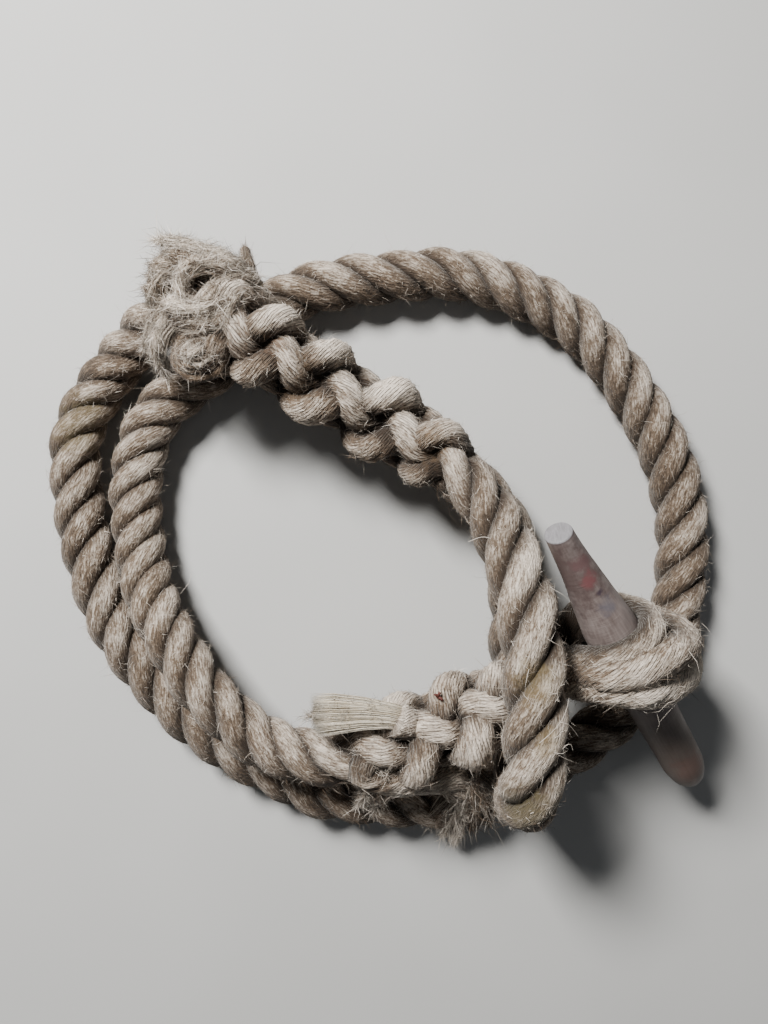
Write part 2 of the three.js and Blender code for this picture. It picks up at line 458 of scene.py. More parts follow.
def add_splice(splice, material, lead_in, tails):
    """The three tucked strands: from the rope's end at the throat to their cut ends."""
    surfaces = Surfaces()
    count = int((splice.end - splice.begin) / STRAND_STEP) + 1
    along = np.linspace(splice.begin, splice.end, count)
    middle = along_rope(along, rope_line)
    side = unit(along_rope(along, rope_side))
    other = unit(along_rope(along, rope_other))
    crowns = crown_count(along)
    up = np.interp(along, rope_along, rope_up)
    opened = splice.opened(along)
    reach = (TUCKED_RADIUS - TUCKED_WAVE * np.cos(TURN * crowns)) * (0.45 + 0.55 * opened)
    for strand in range(STRANDS):
        turn = up - TURN / STRANDS * crowns + TURN * strand / STRANDS
        turn = turn + wander(count, STRAND_STEP, 22, 0.14)
        outward = np.cos(turn)[:, None] * side + np.sin(turn)[:, None] * other
        woven = middle + (reach + wander(count, STRAND_STEP, 20, 0.7))[:, None] * outward
        if not splice.throat_first:
            woven = woven[::-1]
        knots = np.vstack([lead_in, woven[2:-2:2], tails[strand]])
        line, _, _ = smooth_line(knots, STRAND_STEP)
        distances = np.linalg.norm(line[:, None, :] - middle[None, :, :], axis=-1)
        centre = middle[distances.argmin(1)]
        radius = TUCKED_STRAND * (1 + wander(len(line), STRAND_STEP, 14, 0.09))
        add_strand(surfaces, line, radius, centre, np.full(len(line), TUCKED_REACH),
                   twist_start=strand, tint=random.normal(0, 0.15), worked=1.0)
    return surfaces.build(splice.name, material)


# ---------------------------------------------------------------- the small eye

THIN_END = np.array([71.7, 10.5, 80.0])
ROUND_END = np.array([147.3, -107.6, 24.3])
TOGGLE_ALONG = unit(ROUND_END - THIN_END)
# The toggle's radius at distances from its thin end, with a little over for the saw cut.
TOGGLE_PROFILE = [
    (5.9, -3), (6.0, 1.5), (6.4, 7), (6.9, 13), (7.9, 22), (9.2, 32), (10.9, 43), (12.0, 52),
    (12.2, 62), (12.1, 72), (11.9, 82), (11.2, 92), (10.5, 102), (10.1, 111), (10.0, 119),
    (9.9, 127), (9.8, 135), (9.2, 140), (8.2, 144), (6.8, 147), (4.8, 149.2), (2.4, 150.5),
]
TOGGLE_GRIP = 0.4            # between the toggle's wood and the strands that grip it

# Each strand's line, from the throat over the front of the toggle, round its right side and
# back behind it, with the strand's radius and how pale it is. They lie close together at the
# throat and fan out to the right.
EYE_STRANDS = [
    ([(66, -57, 43), (77, -51, 42), (84, -46, 52), (88.5, -43.5, 66), (94.5, -41, 75),
      (101.5, -38, 77), (108, -33, 76), (112.5, -28.5, 70), (113.5, -25.5, 59), (106, -24, 45),
      (96, -24, 38), (85, -33, 38), (72, -50, 42)], 6.4, -0.1),
    ([(66, -59, 43), (78, -54, 43), (85, -50, 54), (89.5, -48, 68), (98, -46.5, 77),
      (109, -42.5, 78), (121, -38.5, 72), (130, -37, 59), (129.5, -33.5, 47), (121, -30, 38),
      (107, -28, 34), (92, -34, 35), (77, -48, 40)], 7.5, -0.35),
    ([(66, -60, 40), (79, -57, 41), (85.5, -55.5, 52), (90, -54.5, 64), (97, -53.5, 72.5),
      (107, -54, 74), (119, -53, 68.5), (129, -50.5, 59), (134, -46, 48), (131, -41, 38),
      (121, -37, 30), (106, -36, 28), (90, -42, 32), (76, -52, 38)], 7.5, -0.05),
]
EYE_MIDDLE = 8               # how far inside each strand the eye's own middle is taken to be
EYE_REACH = 13.6             # the crowns' distance from that middle


def from_toggle_middle(points):
    """How far along the toggle each point is, and how it lies from the toggle's middle line."""
    from_thin_end = points - THIN_END
    along = from_thin_end @ TOGGLE_ALONG
    return along, from_thin_end - along[..., None] * TOGGLE_ALONG


def out_of_toggle(points):
    """Moves points that would lie in the toggle's wood straight out to its skin."""
    radii, distances = np.array(TOGGLE_PROFILE, dtype=float).T
    along, away = from_toggle_middle(points)
    skin = np.interp(along, distances, radii) + TOGGLE_GRIP
    outwards = np.maximum(skin / np.linalg.norm(away, axis=-1), 1) - 1
    return points + away * outwards[..., None]


def add_toggle_eye(material):
    """The three strands, pressed against the toggle."""
    surfaces = Surfaces()
    for number, (route, thick, tint) in enumerate(EYE_STRANDS):
        line, _, _ = smooth_line(route, STRAND_STEP)
        outward = unit(from_toggle_middle(line)[1])
        radius = thick * (1 + wander(len(line), STRAND_STEP, 20, 0.05))
        # crown is measured from a line inside each strand towards the toggle, so the skin pressed
        # against the wood gets painted shade
        add_strand(surfaces, line, radius, line - EYE_MIDDLE * outward,
                   np.full(len(line), EYE_REACH), twist_start=1.7 * number, tint=tint,
                   worked=0.75, pressed=out_of_toggle)
    return surfaces.build("toggle_eye", material)


# ---------------------------------------------------------------- fibres and frayed ends

def add_fibres(surfaces, lines, radii, sides, crown, tint):
    """Many thin fibres at once: lines holds each one's points, the last being its tip."""
    count, points, _ = lines.shape
    rings = points - 1
    tangent = unit(np.gradient(lines, axis=1))[:, :rings]
    middle = unit(lines[:, -1] - lines[:, 0])
    spare = random.normal(0, 1, (count, 3))
    spare = unit(spare - (spare * middle).sum(-1, keepdims=True) * middle)
    side = unit(np.cross(tangent, spare[:, None, :]))
    other = np.cross(tangent, side)
    angle = TURN * np.arange(sides)[:, None] / sides
    ring = np.cos(angle) * side[:, :, None, :] + np.sin(angle) * other[:, :, None, :]
    skin = lines[:, :rings, None, :] + radii[:, :rings, None, None] * ring
    each = rings * sides + 1
    vertices = np.concatenate([skin.reshape(count, -1, 3), lines[:, -1:]], axis=1)

    steps = np.linalg.norm(np.diff(lines, axis=1), axis=-1)
    along = np.concatenate([np.zeros((count, 1)), np.cumsum(steps, axis=1)], axis=1) / 10
    u = np.arange(count)[:, None, None] * 0.37 + (np.arange(sides) / sides)[None, None, :]
    skin_uv = np.stack(np.broadcast_arrays(u, along[:, :rings, None]), -1)
    tip_uv = np.stack([u[:, 0, 0], along[:, -1]], -1)[:, None]
    uv = np.concatenate([skin_uv.reshape(count, -1, 2), tip_uv], axis=1).reshape(-1, 2)

    index = np.arange(rings * sides).reshape(rings, sides)
    after = np.roll(index, -1, axis=1)
    quads = np.stack([index[:-1], after[:-1], after[1:], index[1:]], -1).reshape(-1, 4)
    tips = np.stack([index[-1], after[-1], np.full(sides, each - 1)], -1)
    base = np.stack([np.zeros(sides - 2, int), np.arange(2, sides), np.arange(1, sides - 1)], -1)
    triangles = np.vstack([tips, base])
    shift = (np.arange(count) * each)[:, None, None]
    quads = (quads + shift).reshape(-1, 4)
    triangles = (triangles + shift).reshape(-1, 3)
    surfaces.add(vertices.reshape(-1, 3), quads, uv[quads].reshape(-1, 8), triangles,
                 uv[triangles].reshape(-1, 6), np.repeat(crown, each), np.repeat(tint, each),
                 np.zeros(count * each))


def lock_lines(route, widths, count, clumps, spread, shortest, flat, points=5):
    """Lines of the fibres in one lock of a frayed strand, and how far out each one lies.

    The lock is as wide at each point of its route as widths says. Its fibres gather in
    clumps, and stray more towards their tips."""
    line, place, along = smooth_line(route, 0.8)
    _, side, other = carried_frames(line)
    width = np.interp(place, np.arange(len(widths)), widths)
    clump = random.integers(0, clumps, count)
    clump_turn = random.uniform(0, TURN, clumps)
    clump_out = 0.85 * np.sqrt(random.uniform(0, 1, clumps))
    own_turn = random.uniform(0, TURN, count)
    own_out = 0.4 * np.sqrt(random.uniform(0, 1, count))
    up = (clump_out * np.cos(clump_turn))[clump] + own_out * np.cos(own_turn)
    across = (clump_out * np.sin(clump_turn))[clump] + own_out * np.sin(own_turn)
    strays = (0.8 * random.normal(0, 1, (clumps, 3))[clump]
              + 0.5 * random.normal(0, 1, (count, 3)))
    shorter = random.uniform(shortest, 1, clumps)[clump] * random.uniform(shortest, 1, count)
    part = np.linspace(0, 1, points)[None, :] * np.sqrt(shorter)[:, None]
    at = part * along[-1]

    def followed(values):
        return np.stack([np.interp(at, along, values[:, k]) for k in range(3)], -1)

    reach = np.interp(at, along, width)[..., None]
    lines = followed(line) + spread * (part ** 1.6)[..., None] * strays[:, None, :]
    lines += reach * flat * up[:, None, None] * followed(side)
    lines += reach * across[:, None, None] * followed(other)
    return lines, np.hypot(up, across)


def add_lock(surfaces, route, widths, tint, count=240, clumps=14, spread=1.8, fine=0.12,
             core=0.72, shortest=0.7, flat=1.0, blunt=9.0, skins=woolly_skins):
    """One lock: a lumpy woolly core, and fine fibres that run through it and past its end."""
    widths = np.array(widths, float)
    line, place, along = smooth_line(route, 1.6)
    width = np.interp(place, np.arange(len(widths)), widths)
    closing = np.sqrt(np.clip((along[-1] - along) / blunt, 0.02, 1))
    radius = core * width * closing * (1 + wander(len(line), 1.6, 4, 0.16))
    # crown is measured from a line below the lock, so its underside gets painted shade
    down = line - [0, 0, 5]
    _, side, _ = carried_frames(line)
    add_strand(surfaces, line, radius, down, 5 + radius, tint=tint - 0.5, worked=0.8,
               skins=skins, yarns=9, squash=(side, np.full(len(line), 1 - flat)))
    lines, out = lock_lines(route, widths, count, clumps, spread, shortest, flat)
    radii = fine * np.array([1, 0.95, 0.85, 0.7, 0.3]) * random.uniform(0.6, 1.35, (count, 1))
    # fibres near the lock's middle get a lower crown: painted shade inside the lock
    add_fibres(surfaces, lines, radii, 3, 0.75 + 0.32 * np.clip(out, 0, 1),
               tint + random.normal(0, 0.8, count))


# The frayed end of the big splice: each lock's route, its width at each point and how pale
# it is. They swirl round a hollow, and the last ones hang down over the outer turn.
TUFT_LOCKS = [
    ([(-54, 117, 46), (-61, 123, 53), (-70, 128, 58), (-79, 131, 59), (-88, 134, 56),
      (-97, 137, 50)], (5, 5.5, 5, 4.5, 4.5, 2.2), 1.9),
    ([(-58, 118, 46), (-68, 124, 55), (-78, 125, 58), (-86, 128, 56), (-92, 131, 52)],
     (7, 7, 6, 6, 4), 0.4),
    ([(-57, 120, 48), (-66, 123, 58), (-76, 124, 61), (-83, 119, 61), (-84, 112, 59),
      (-79, 106, 58)], (4, 4.5, 4.5, 4.5, 4.5, 3.5), 0.9),
    ([(-70, 119, 44), (-80, 121, 50), (-88, 123, 54), (-95, 124, 53), (-100, 122, 48)],
     (8, 8, 7.5, 6, 4), 0.3),
    ([(-72, 114, 42), (-82, 114, 46), (-91, 115, 50), (-99, 116, 48), (-103, 117, 44)],
     (9, 9, 8, 6, 3.5), -1.2),
    # painted shade: this lock, at the bottom of the hollow, is tinted almost black
    ([(-62, 111, 43), (-70, 112, 43), (-76, 115, 43), (-80, 119, 44)], (7, 7, 6.5, 5.5), -2.8),
    ([(-60, 113, 50), (-64, 109, 58), (-71, 105, 61), (-80, 104, 60), (-88, 107, 56),
      (-95, 110, 51)], (3.5, 5, 5, 5, 5.5, 4), 1.4),
    ([(-58, 112, 50), (-62, 105, 58), (-67, 100, 59), (-75, 99, 58), (-83, 101, 56),
      (-91, 105, 52)], (3.5, 4.5, 5, 5.5, 5.5, 4), 0.7),
    ([(-58, 115, 50), (-62, 108, 59), (-65, 102, 60), (-67, 97, 58), (-69, 92, 54)],
     (3.5, 4, 4, 3.5, 2.4), 1.6),
    ([(-78, 106, 48), (-87, 106, 52), (-94, 103, 50), (-100, 98, 45), (-105, 92, 41)],
     (7, 7.5, 6.5, 5, 3), 1.0),
    ([(-82, 107, 48), (-90, 104, 51), (-96, 96, 48), (-99, 88, 42), (-96, 80, 36)],
     (6, 6.5, 6, 4.5, 2.6), 1.8),
    ([(-66, 106, 44), (-76, 100, 46), (-84, 96, 46), (-90, 92, 42)], (8, 8, 7, 5), -0.6),
    ([(-88, 122, 55), (-93, 118, 55), (-96, 112, 53), (-97, 105, 50)], (4, 5, 5, 3.5), 0.5),
    # painted shade: this lock, in the dark cavity beside the hollow, is tinted almost black
    ([(-53, 110, 44), (-58, 104, 48), (-61, 98, 47)], (5, 5.5, 4), -2.6),
    ([(-54, 117, 47), (-60, 117, 55), (-65.5, 115, 59), (-70, 110, 60), (-75, 104, 58)],
     (4, 5, 4.5, 4.5, 4), 0.9),
    ([(-55, 112, 50), (-62, 113, 57), (-68, 110, 59), (-72, 104, 60), (-72, 98, 57)],
     (4, 4.5, 4.5, 4, 3), -0.2),
]
# The strand end that stands beside it, and a paler wisp.
SMALL_ENDS = [
    ([(-55, 117, 41), (-56.5, 124, 44), (-58.5, 131, 45), (-59.5, 136.5, 44)],
     (3.3, 3.1, 2.9, 2.9), 0.1, 0.2),
    ([(-60, 121, 42), (-64, 128, 43), (-67, 132, 42)], (2.6, 2.4, 2.2), 1.0, 0.6),
]
# The cut end of a strand below it, seen end on: a solid stub, and on it rings of fibre round
# a pale middle. A ring has half its length and width, its rise, thickness and tint.
CUT_STUB = [(-68, 102, 42), (-73, 94, 47), (-76.6, 88, 54)]
CUT_END = np.array([-77.2, 87.3, 57.5])
CUT_END_LONG = unit(np.array([0.92, 0.36, 0.1]))
CUT_END_WIDE = unit(np.array([-0.36, 0.9, 0.1]))
CUT_RINGS = [
    (2.6, 1.0, 1.2, 1.8, 0.9), (5.1, 3.1, 0.2, 1.1, -1.2), (6.7, 4.7, -0.2, 1.3, 0.5),
    (8.4, 6.3, -1.6, 1.4, -0.9), (10.0, 8.0, -3.2, 1.7, 0.1), (11.3, 9.6, -6.0, 2.5, -0.7),
]
RING_POINTS = 40
STUB_STEP = 1.5
STUB_RADIUS = 9.0
STUB_REACH = 9.3
# Below the toggle's splice: the locks of the strand that hangs furthest, and small ones.
HANGING_LOCKS = [
    ([(40, -102, 34), (34, -112, 29), (29, -122, 22), (25, -129, 17)], (5, 5, 4.5, 3), 0.2),
    ([(39, -104, 34), (37, -116, 28), (34, -127, 20), (31, -138, 11)], (4.5, 4.5, 3.4, 2.2), 1.7),
    ([(40, -104, 34), (39, -116, 28), (38, -129, 20), (37, -142, 10)], (4, 4, 2.8, 2.2), 2.0),
    ([(41, -104, 34), (43, -115, 29), (44, -125, 22), (45, -133, 15)], (5, 5.5, 5, 3.4), -0.7),
    ([(42, -103, 33), (48, -114, 28), (51, -123, 21), (53, -131, 15)], (5, 5.5, 5, 3), 0.5),
    ([(43, -102, 32), (51, -110, 27), (56, -117, 21), (59, -122, 16)], (5, 5, 4.5, 2.6), 1.0),
    ([(8, -101, 40), (4, -108, 34), (1, -115, 28), (-2, -121, 23)], (4, 3.6, 3, 2), 1.2),
    ([(2, -100, 41), (-3, -107, 35), (-7, -113, 29), (-10, -119, 24)], (4, 3.4, 3, 2), 1.5),
    ([(-8, -86, 50), (-4, -91, 50), (2, -95, 48), (7, -99, 44), (9, -104, 39)],
     (2.6, 3, 3, 2.6, 2), 1.8),
    ([(-6, -92, 47), (1, -93, 49), (8, -90, 50), (13, -86, 51)], (2.4, 2.6, 2.2, 1.5), 1.4),
]
BRUSH_ROUTE = [(14, -72, 52), (7, -69.5, 55), (-5, -68, 56), (-16, -68, 56), (-29, -69, 55)]
BRUSH_WIDTHS = (4.8, 4.8, 6.4, 8.0, 9.0)


def add_tuft(material):
    surfaces = Surfaces()
    for route, widths, tint in TUFT_LOCKS:
        add_lock(surfaces, route, widths, tint)
    for route, widths, tint, spread in SMALL_ENDS:
        add_lock(surfaces, route, widths, tint, clumps=40, spread=spread, shortest=0.92,
                 core=0.9, blunt=2.0, skins=strand_skins)
    stub, _, _ = smooth_line(CUT_STUB, STUB_STEP)
    radius = STUB_RADIUS * (1 + wander(len(stub), STUB_STEP, 5, 0.04))
    add_strand(surfaces, stub, radius, stub, np.full(len(stub), STUB_REACH), tint=-0.6,
               worked=1.0, skins=woolly_skins)
    for long, wide, rise, thick, tint in CUT_RINGS:
        turn = np.linspace(0, 0.98 * TURN, RING_POINTS)
        ring = CUT_END + long * np.cos(turn)[:, None] * CUT_END_LONG
        ring = ring + wide * np.sin(turn)[:, None] * CUT_END_WIDE + [0, 0, rise]
        ring = ring + np.stack(
            [wander(RING_POINTS, long * 0.15, 4, 0.45) for _ in range(3)], axis=1)
        # crown is measured from below each ring, so its underside gets painted shade
        add_strand(surfaces, ring, thick, ring - [0, 0, 3], np.full(RING_POINTS, 3 + thick),
                   tint=tint, worked=1.0, yarns=7)
    return surfaces.build("frayed_tuft", material)


def add_hanging_frays(material):
    surfaces = Surfaces()
    for route, widths, tint in HANGING_LOCKS:
        add_lock(surfaces, route, widths, tint, core=0.6, spread=2.0)
    return surfaces.build("hanging_frays", material)


def add_brush(material):
    """A strand cut straight across: its fibres lie side by side, flat as a brush."""
    surfaces = Surfaces()
    add_lock(surfaces, BRUSH_ROUTE, BRUSH_WIDTHS, 0.8, count=1500, clumps=110, spread=0.3,
             fine=0.17, core=0.72, shortest=0.98, flat=0.55)
    return surfaces.build("cut_brush", material)


def add_hairs(name, skins, count, length, width, stray, lift, bent, material):
    """Hairs that stand out of the skins, most of them lying along the yarns. Each is paler or
    browner than the skin under it."""
    points, outwards, lies = [
        np.concatenate([skin[k].reshape(-1, 3) for skin in skins]) for k in range(3)]
    crowns, tints = [np.concatenate([skin[k].ravel() for skin in skins]) for k in (3, 4)]
    weights = np.clip((crowns - 0.6) / 0.2, 0, 1)
    chosen = random.choice(len(weights), count, p=weights / weights.sum())
    outward, lie = outwards[chosen], lies[chosen]
    across = np.cross(outward, lie)
    turn = random.normal(0, stray, count)[:, None]
    lift = random.gamma(1.6, lift, count)[:, None]
    forwards = random.choice([-1.0, 1.0], count)[:, None]
    heading = unit(forwards * np.cos(turn) * lie + np.sin(turn) * across + lift * outward)
    size = (length * random.lognormal(0, 0.45, count))[:, None]
    start = points[chosen] + random.uniform(-1.3, 1.3, (count, 1)) * lie - 0.35 * outward
    if bent:
        middle = start + 0.5 * size * heading
        tip = middle + 0.5 * size * unit(heading + random.normal(0, 0.45, (count, 3)))
        lines, taper = np.stack([start, middle, tip], axis=1), [[1, 0.8, 0]]
    else:
        lines, taper = np.stack([start, start + size * heading], axis=1), [[1, 0]]
    radii = width * random.uniform(0.6, 1.3, (count, 1)) * np.array(taper)
    surfaces = Surfaces()
    add_fibres(surfaces, lines, radii, 3, crowns[chosen],
               0.9 * tints[chosen] + random.normal(0, 1.05, count))
    return surfaces.build(name, material, smooth=False)


# Loose threads that lie across the rope, as a few points each.
LOOSE_THREADS = [
    [(62, -70, 92), (66, -66, 93), (70, -62, 92), (73, -57, 90), (74, -53, 89)],
    [(70, -62, 92), (73, -63, 91), (76, -66, 88), (79, -70, 85)],
    [(66, -78, 89), (70, -75, 88), (75, -72, 86), (77, -76, 84)],
    [(60, -100, 84), (65, -98, 84), (70, -94, 83), (73, -90, 82)],
    [(52, -104, 76), (58, -107, 75), (64, -105, 76)],
    [(38, 6, 62), (44, 8, 62), (50, 7, 64), (56, 9, 63)],
    [(-62, 112, 66), (-63, 106, 65), (-62, 100, 62)],
    [(-66, 104, 64), (-62, 99, 60), (-57, 95, 57), (-54, 93, 55)],
]

LONG_SKIN = 40               # only skins with more rows than this carry a scattered thread
THREAD_ROWS = 10             # a scattered thread's length, in rows of the skin
CLEAR_OF_END = 4             # rows left free at each end of the skin


def add_loose_threads(count, material):
    """The threads above, and short ones scattered over the strands."""
    surfaces = Surfaces()
    for route in LOOSE_THREADS:
        line, _, _ = smooth_line(route, 1.5)
        size = np.linspace(0.15, 0.08, len(line))[None, :]
        add_fibres(surfaces, line[None], size, 4, np.ones(1), np.full(1, 0.9))
    long_skins = [skin for skin in strand_skins if len(skin[0]) > LONG_SKIN]
    for _ in range(count):
        skin, outward, _, crown, _ = long_skins[random.integers(len(long_skins))]
        row = random.integers(CLEAR_OF_END, len(skin) - CLEAR_OF_END - THREAD_ROWS)
        column = random.integers(skin.shape[1])
        rows = np.arange(row, row + THREAD_ROWS)
        drift = np.cumsum(random.integers(-1, 2, THREAD_ROWS))
        columns = (column + drift) % skin.shape[1]
        if crown[rows, columns].min() < 0.7:
            continue
        from_middle = np.linspace(-1, 1, THREAD_ROWS)
        rise = random.uniform(0.2, 0.6) + random.uniform(0.5, 3) * from_middle ** 2
        line = skin[rows, columns] + rise[:, None] * outward[rows, columns]
        add_fibres(surfaces, line[None], np.full((1, THREAD_ROWS), 0.08), 3, np.ones(1),
                   np.full(1, random.uniform(0, 1.2)))
    return surfaces.build("loose_threads", material)


def add_scrap():
    """A curled scrap of bark that has caught on the splice."""
    material, _, shader, _ = new_material("bark_scrap", 0.7)
    shader.inputs["Base Color"].default_value = (0.075, 0.016, 0.010, 1)
    surfaces = Surfaces()
    start = np.array([25.5, -60.5, 57.5])
    parts = np.linspace(0, 1, 5)[:, None]
    reach = np.array([[1.6, 2.4, 1.2], [-2.2, 1.2, 1.0], [1.8, -1.6, 1.4], [0.2, 2.8, 0.4]])
    curl = np.array([[-0.8, 0.4, 0.8], [0.3, 0.9, 0.6], [0.9, 0.5, 0.7], [0.6, 0.1, 0.9]])
    lines = start + parts * reach[:, None, :] + (parts - parts ** 2) * 2.4 * curl[:, None, :]
    radii = np.tile([0.62, 0.75, 0.6, 0.4, 0.1], (4, 1))
    add_fibres(surfaces, lines, radii, 6, np.ones(4), np.zeros(4))
    return surfaces.build("bark_scrap", material)


# ---------------------------------------------------------------- the toggle

SAWN_FACING = unit(np.array([-0.43, 0.70, 0.57]))
TOGGLE_SIDES = 28
SAWN_EDGE = 0.5              # how far the saw cut's edge is worn round


def deselect_everything():
    for chosen in list(bpy.context.selected_objects):
        chosen.select_set(False)


def select_where(mesh_object, kind, wanted):
    """In edit mode, select the faces or edges whose middle the test accepts."""
    bpy.ops.mesh.select_all(action="DESELECT")
    bpy.ops.object.mode_set(mode="OBJECT")
    mesh = mesh_object.data
    place = mesh_object.matrix_world
    if kind == "FACE":
        for face in mesh.polygons:
            face.select = wanted(place @ face.center)
    else:
        for edge in mesh.edges:
            ends = [place @ mesh.vertices[i].co for i in edge.vertices]
            edge.select = all(wanted(end) for end in ends)
    bpy.ops.object.mode_set(mode="EDIT")
    bpy.ops.mesh.select_mode(type=kind)


def add_toggle(material):
    """A whittled stick: drawn out ring by ring from its thin end, then sawn at a slant."""
    along = Vector(TOGGLE_ALONG)
    thin_end = Vector(THIN_END * MM)
    facing = Vector(SAWN_FACING)
    (radius, first), (_, second) = TOGGLE_PROFILE[:2]
    deselect_everything()
    bpy.ops.mesh.primitive_cylinder_add(
        vertices=TOGGLE_SIDES, radius=radius * MM, depth=(second - first) * MM,
        location=thin_end + along * (first + second) / 2 * MM,
        rotation=along.to_track_quat("Z", "Y").to_euler())
    toggle = bpy.context.object
    toggle.name = "wooden_toggle"
    bpy.ops.object.transform_apply(location=True, rotation=True, scale=True)
    bpy.ops.object.mode_set(mode="EDIT")
    bpy.ops.mesh.select_mode(type="FACE")
    select_where(toggle, "FACE", lambda p: (p - thin_end).dot(along) > (second - 0.1) * MM)
    for (before, reached), (radius, distance) in zip(TOGGLE_PROFILE[1:], TOGGLE_PROFILE[2:]):
        bpy.ops.mesh.extrude_region_move(
            TRANSFORM_OT_translate={"value": along * (distance - reached) * MM})
        bpy.ops.transform.resize(value=(radius / before,) * 3,
                                 center_override=thin_end + along * distance * MM)
    bpy.ops.mesh.select_all(action="SELECT")
    bpy.ops.mesh.bisect(plane_co=thin_end, plane_no=facing, use_fill=True, clear_outer=True)
    select_where(toggle, "EDGE", lambda p: abs((p - thin_end).dot(facing)) < 0.00002)
    bpy.ops.mesh.bevel(offset=SAWN_EDGE * MM, segments=2)
    bpy.ops.mesh.select_all(action="SELECT")
    bpy.ops.mesh.normals_make_consistent(inside=False)
    bpy.ops.object.mode_set(mode="OBJECT")

    fine = toggle.modifiers.new("fine", "SUBSURF")
    fine.levels = fine.render_levels = 2
    bpy.ops.object.modifier_apply(modifier=fine.name)
    lumps = bpy.data.textures.new("whittled lumps", "CLOUDS")
    lumps.noise_scale = 0.018
    whittled = toggle.modifiers.new("whittled", "DISPLACE")
    whittled.texture = lumps
    whittled.texture_coords = "LOCAL"
    whittled.strength = 0.0009
    whittled.mid_level = 0.6
    bpy.ops.object.modifier_apply(modifier=whittled.name)
    bpy.ops.object.shade_smooth_by_angle(angle=math.radians(40))
    toggle.data.materials.append(material)
    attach(toggle, "root")
    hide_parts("toggle")


# ---------------------------------------------------------------- material helpers

def feed(tree, socket, value):
    """Link a socket to another, or set its value."""
    if isinstance(value, bpy.types.NodeSocket):
        tree.links.new(value, socket)
    else:
        socket.default_value = value


def maths(tree, operation, *values, clamp=False):
    made = tree.nodes.new("ShaderNodeMath")
    made.operation = operation
    made.use_clamp = clamp
    for socket, value in zip(made.inputs, values):
        feed(tree, socket, value)
    return made.outputs[0]


def vector_maths(tree, operation, *values, output=0):
    made = tree.nodes.new("ShaderNodeVectorMath")
    made.operation = operation
    for socket, value in zip(made.inputs, values):
        feed(tree, socket, value)
    return made.outputs[output]


def noise(tree, vector, scale, detail=2.0, roughness=0.55):
    made = tree.nodes.new("ShaderNodeTexNoise")
    feed(tree, made.inputs["Vector"], vector)
    made.inputs["Scale"].default_value = scale
    made.inputs["Detail"].default_value = detail
    made.inputs["Roughness"].default_value = roughness
    return made.outputs["Fac"]


def span(tree, value, low, high, out_low=0.0, out_high=1.0):
    """Low to high becomes 0 to 1, or the two values given, eased at both ends."""
    made = tree.nodes.new("ShaderNodeMapRange")
    made.interpolation_type = "SMOOTHSTEP"
    for socket, given in zip(made.inputs, (value, low, high, out_low, out_high)):
        feed(tree, socket, given)
    return made.outputs[0]


def blended(tree, factor, first, second):
    made = tree.nodes.new("ShaderNodeMix")
    made.data_type = "RGBA"
    feed(tree, made.inputs[0], factor)
    feed(tree, made.inputs[6], first)
    feed(tree, made.inputs[7], second)
    return made.outputs[2]


def attribute(tree, name):
    made = tree.nodes.new("ShaderNodeAttribute")
    made.attribute_name = name
    return made.outputs["Fac"]


def new_group(name, inputs, outputs):
    tree = bpy.data.node_groups.new(name, "ShaderNodeTree")
    for title, kind in inputs:
        tree.interface.new_socket(title, in_out="INPUT", socket_type="NodeSocket" + kind)
    for title, kind in outputs:
        tree.interface.new_socket(title, in_out="OUTPUT", socket_type="NodeSocket" + kind)
    given = tree.nodes.new("NodeGroupInput").outputs
    wanted = tree.nodes.new("NodeGroupOutput").inputs
    return tree, given, wanted


def place_group(tree, group, **values):
    made = tree.nodes.new("ShaderNodeGroup")
    made.node_tree = group
    for title, value in values.items():
        feed(tree, made.inputs[title.replace("_", " ")], value)
    return made.outputs


